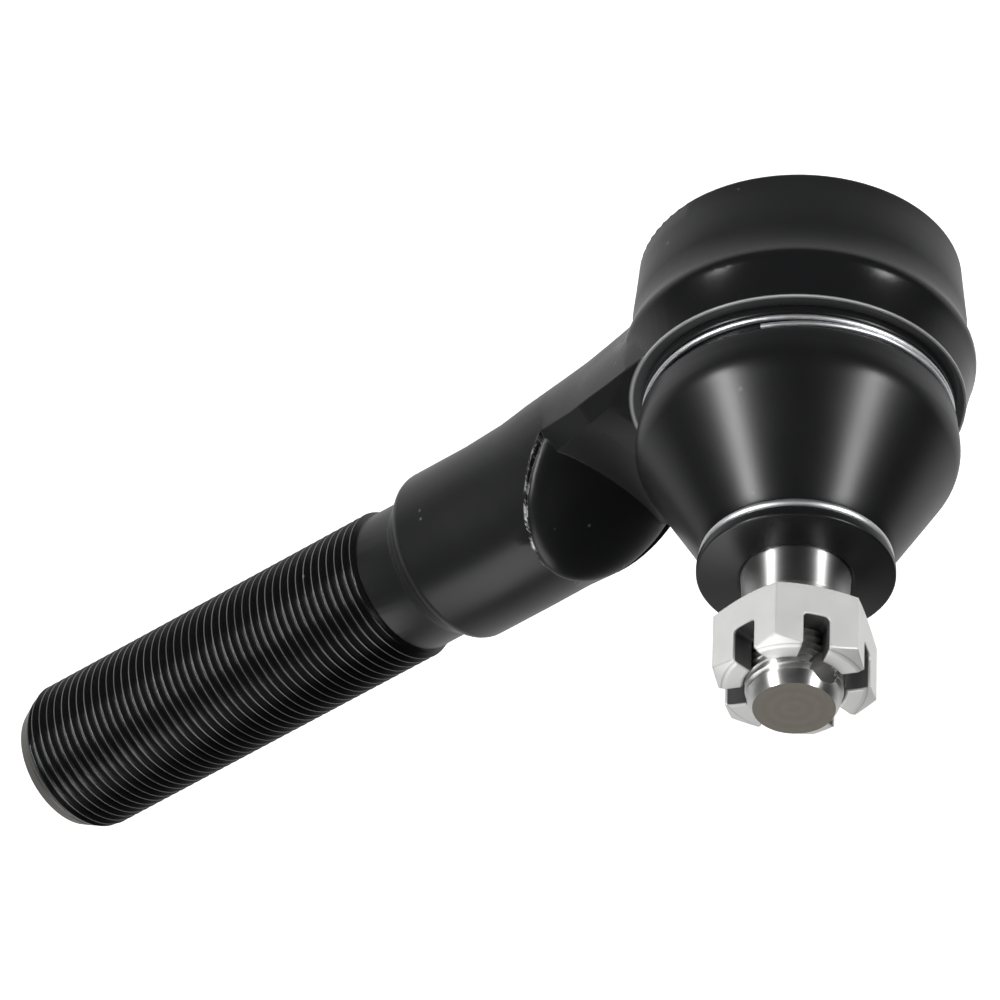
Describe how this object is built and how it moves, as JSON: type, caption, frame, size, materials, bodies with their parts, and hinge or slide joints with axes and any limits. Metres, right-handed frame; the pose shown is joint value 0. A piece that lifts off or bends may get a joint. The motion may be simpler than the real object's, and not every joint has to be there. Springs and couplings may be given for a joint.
{
  "type": "tie rod end",
  "caption": "Steering tie rod end: threaded shank with a forged ball socket, tapered ball stud, rubber dust boot with wire rings and a castle nut.",
  "frame": {"origin": "centre of the ball, where the stud's axis crosses the shank's axis", "axes": "+Z out of the socket along the ball stud, +X along the threaded shank towards its free end"},
  "size_m": [0.2218, 0.0656, 0.1126],
  "materials": {
    "housing": "semi-gloss black paint over forged steel",
    "ball_stud": "turned and polished steel",
    "upper_bearing": "moulded bearing plastic",
    "lower_bearing": "moulded bearing plastic",
    "pressure_spring": "spring steel",
    "cover_plate": "pressed steel, black paint",
    "grease_fitting_body": "zinc plated steel",
    "grease_fitting_ball": "polished steel ball",
    "grease_fitting_spring": "spring wire",
    "dust_boot": "satin black moulded rubber",
    "boot_upper_ring": "bright spring wire",
    "boot_lower_ring": "bright spring wire",
    "castle_nut": "pale satin zinc plate"
  },
  "bodies": {
    "socket": {"housing": "housing", "upper_bearing": "upper_bearing", "lower_bearing": "lower_bearing", "pressure_spring": "pressure_spring", "cover_plate": "cover_plate", "grease_fitting_body": "grease_fitting_body", "grease_fitting_spring": "grease_fitting_spring", "boot_upper_ring": "boot_upper_ring"},
    "check_ball": {"grease_fitting_ball": "grease_fitting_ball"},
    "boot": {"dust_boot": "dust_boot"},
    "lower_ring": {"boot_lower_ring": "boot_lower_ring"},
    "stud": {"ball_stud": "ball_stud"},
    "nut": {"castle_nut": "castle_nut"}
  },
  "joints": [
    {"name": "stud_swing", "type": "hinge", "parent": "socket", "child": "boot", "pos_m": [0, 0, 0], "axis": [0, 1, 0], "range_deg": [-18, 18], "deforming": ["dust_boot"]},
    {"name": "stud_tilt", "type": "hinge", "parent": "boot", "child": "lower_ring", "pos_m": [0, 0, 0], "axis": [1, 0, 0], "range_deg": [-18, 18]},
    {"name": "stud_spin", "type": "hinge", "parent": "lower_ring", "child": "stud", "pos_m": [0, 0, 0], "axis": [0, 0, 1], "continuous": true},
    {"name": "nut_travel", "type": "slide", "parent": "stud", "child": "nut", "axis": [0, 0, 1], "range_m": [0, 0.0185]},
    {"name": "check_ball_lift", "type": "slide", "parent": "socket", "child": "check_ball", "axis": [0, 0, 1], "range_m": [0, 0.0008], "stiffness_N_per_m": 50, "springref_m": -0.0004, "deforming": ["grease_fitting_spring"]}
  ]
}
